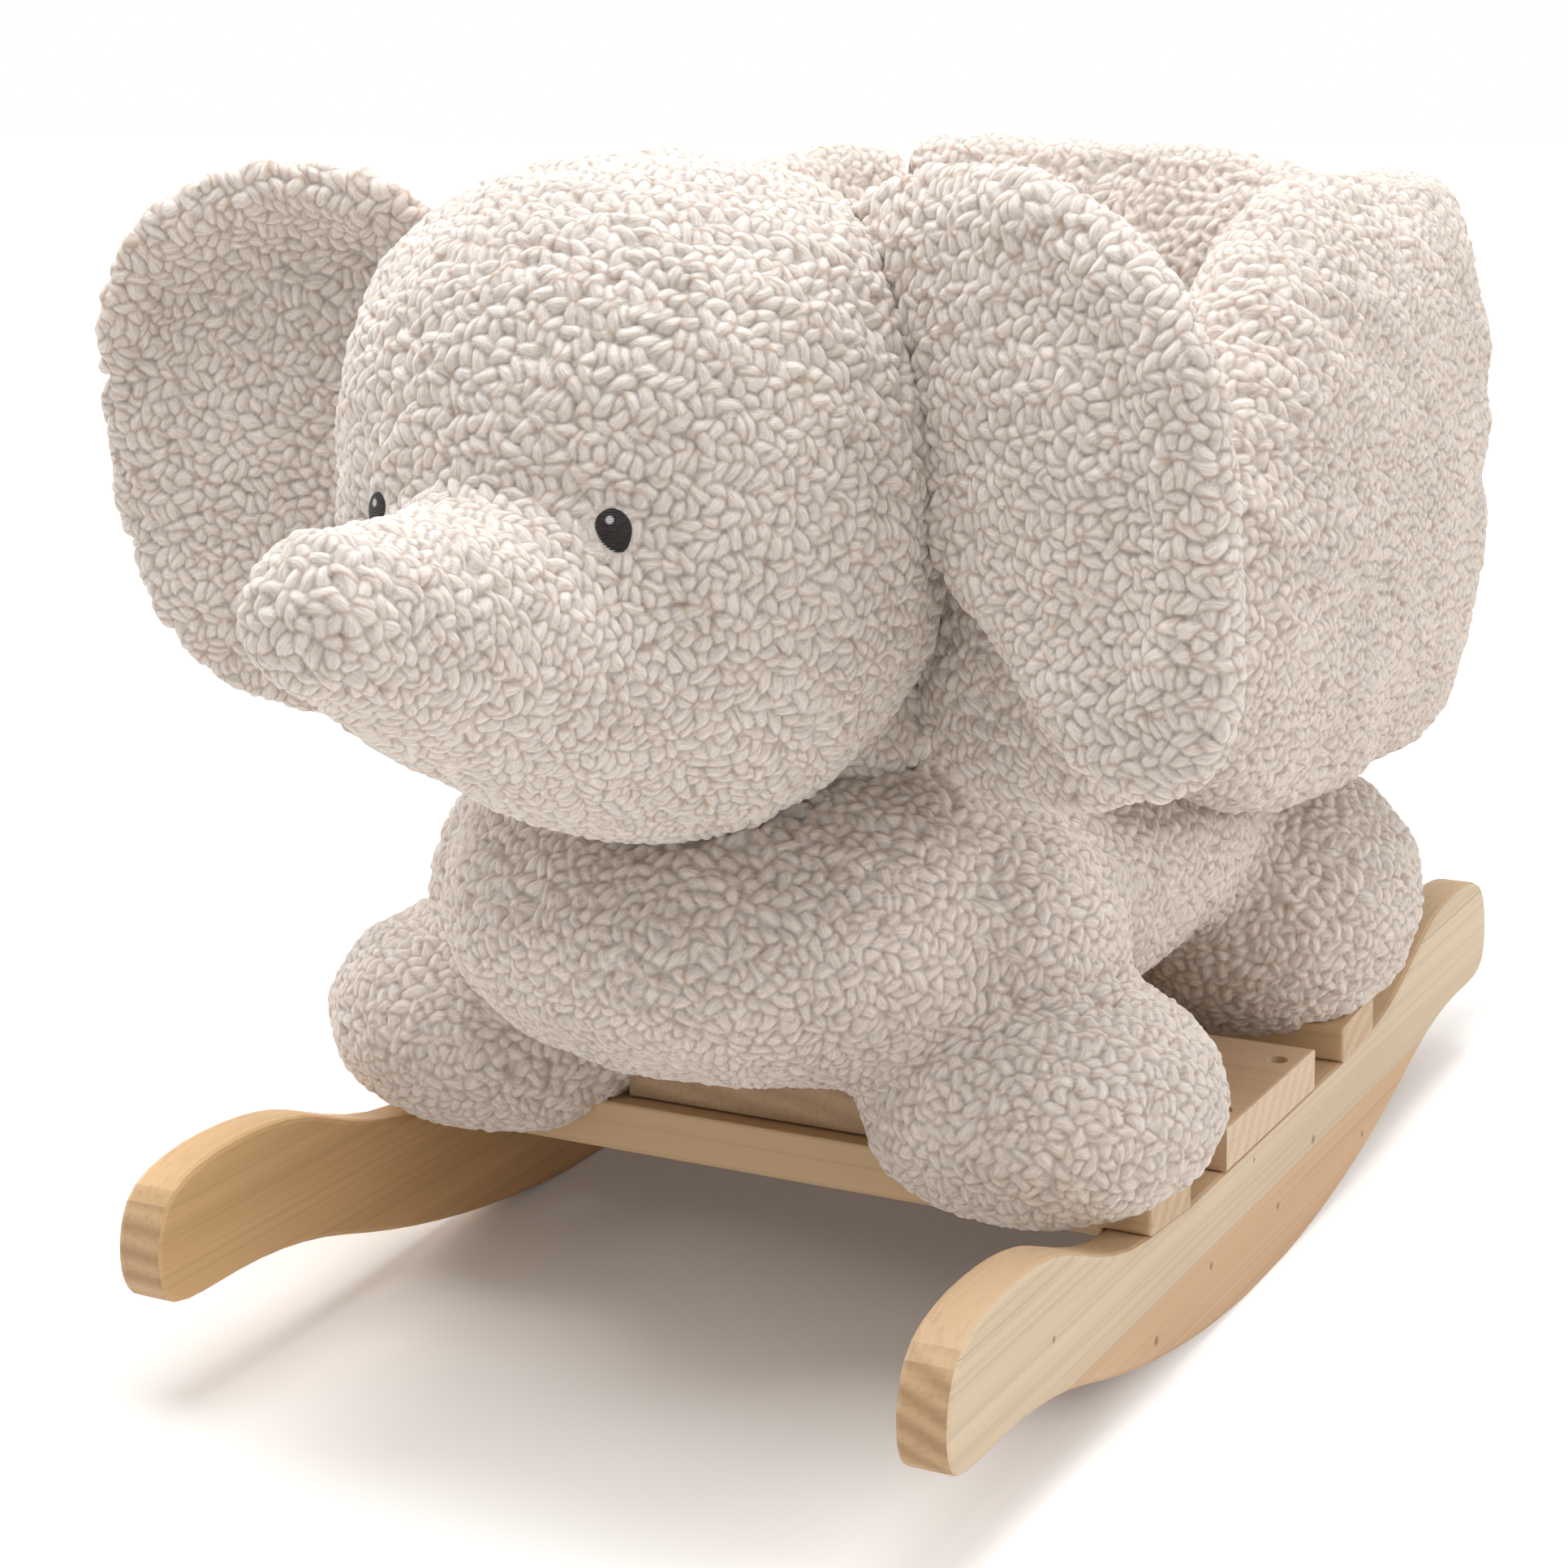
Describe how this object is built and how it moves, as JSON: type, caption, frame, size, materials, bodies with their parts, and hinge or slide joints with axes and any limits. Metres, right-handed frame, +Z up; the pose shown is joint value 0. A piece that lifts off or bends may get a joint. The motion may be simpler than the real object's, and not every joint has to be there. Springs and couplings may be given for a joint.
{
  "type": "rocking animal",
  "caption": "Stuffed elephant with a tub seat on a wooden frame with two curved rockers; its two ears bend to and fro at their roots.",
  "frame": {"origin": "on the floor below the middle of the part's box, midway between the rockers", "axes": "+X to the animal's left, +Y to its tail, +Z up"},
  "size_m": [0.4424, 0.6976, 0.449],
  "materials": {
    "pale_wood": "satin",
    "plywood": "matte",
    "sherpa_cream": "matte",
    "sherpa_greige": "matte",
    "eye_stitching": "satin",
    "zinc_screw": "satin"
  },
  "bodies": {
    "rocking_body": {"rocker_right": "pale_wood", "rocker_left": "pale_wood", "front_rail": "pale_wood", "rear_rail": "pale_wood", "centre_board": "pale_wood", "spine_board": "pale_wood", "front_riser": "pale_wood", "rear_riser": "pale_wood", "seat_board": "plywood", "side_board_left": "plywood", "side_board_right": "plywood", "back_board": "plywood", "neck_post": "pale_wood", "handle_bar": "pale_wood", "board_screw_front_right": "zinc_screw", "rail_screw_front_right": "zinc_screw", "spine_screw_front_right": "zinc_screw", "side_board_screw_front_right": "zinc_screw", "board_screw_rear_right": "zinc_screw", "rail_screw_rear_right": "zinc_screw", "spine_screw_rear_right": "zinc_screw", "side_board_screw_rear_right": "zinc_screw", "back_board_screw_right": "zinc_screw", "board_screw_front_left": "zinc_screw", "rail_screw_front_left": "zinc_screw", "spine_screw_front_left": "zinc_screw", "side_board_screw_front_left": "zinc_screw", "board_screw_rear_left": "zinc_screw", "rail_screw_rear_left": "zinc_screw", "spine_screw_rear_left": "zinc_screw", "side_board_screw_rear_left": "zinc_screw", "back_board_screw_left": "zinc_screw", "post_screw_low": "zinc_screw", "post_screw_high": "zinc_screw", "torso": "sherpa_greige", "head": "sherpa_cream", "trunk": "sherpa_cream", "wing_right": "sherpa_greige", "leg_front_right": "sherpa_greige", "leg_rear_right": "sherpa_greige", "eye_right": "eye_stitching", "wing_left": "sherpa_greige", "leg_front_left": "sherpa_greige", "leg_rear_left": "sherpa_greige", "eye_left": "eye_stitching", "backrest": "sherpa_greige", "seat_cushion": "sherpa_greige", "tail": "sherpa_greige"},
    "left_ear": {"ear_left": "sherpa_cream"},
    "right_ear": {"ear_right": "sherpa_cream"}
  },
  "joints": [
    {"name": "left_ear_bend", "type": "hinge", "parent": "rocking_body", "child": "left_ear", "pos_m": [0.101, -0.10419, 0.341], "axis": [0, 0, -1], "range_deg": [-20, 30], "stiffness_Nm_per_rad": 1.5},
    {"name": "right_ear_bend", "type": "hinge", "parent": "rocking_body", "child": "right_ear", "pos_m": [-0.101, -0.10419, 0.341], "axis": [0, 0, 1], "range_deg": [-20, 30], "stiffness_Nm_per_rad": 1.5}
  ]
}
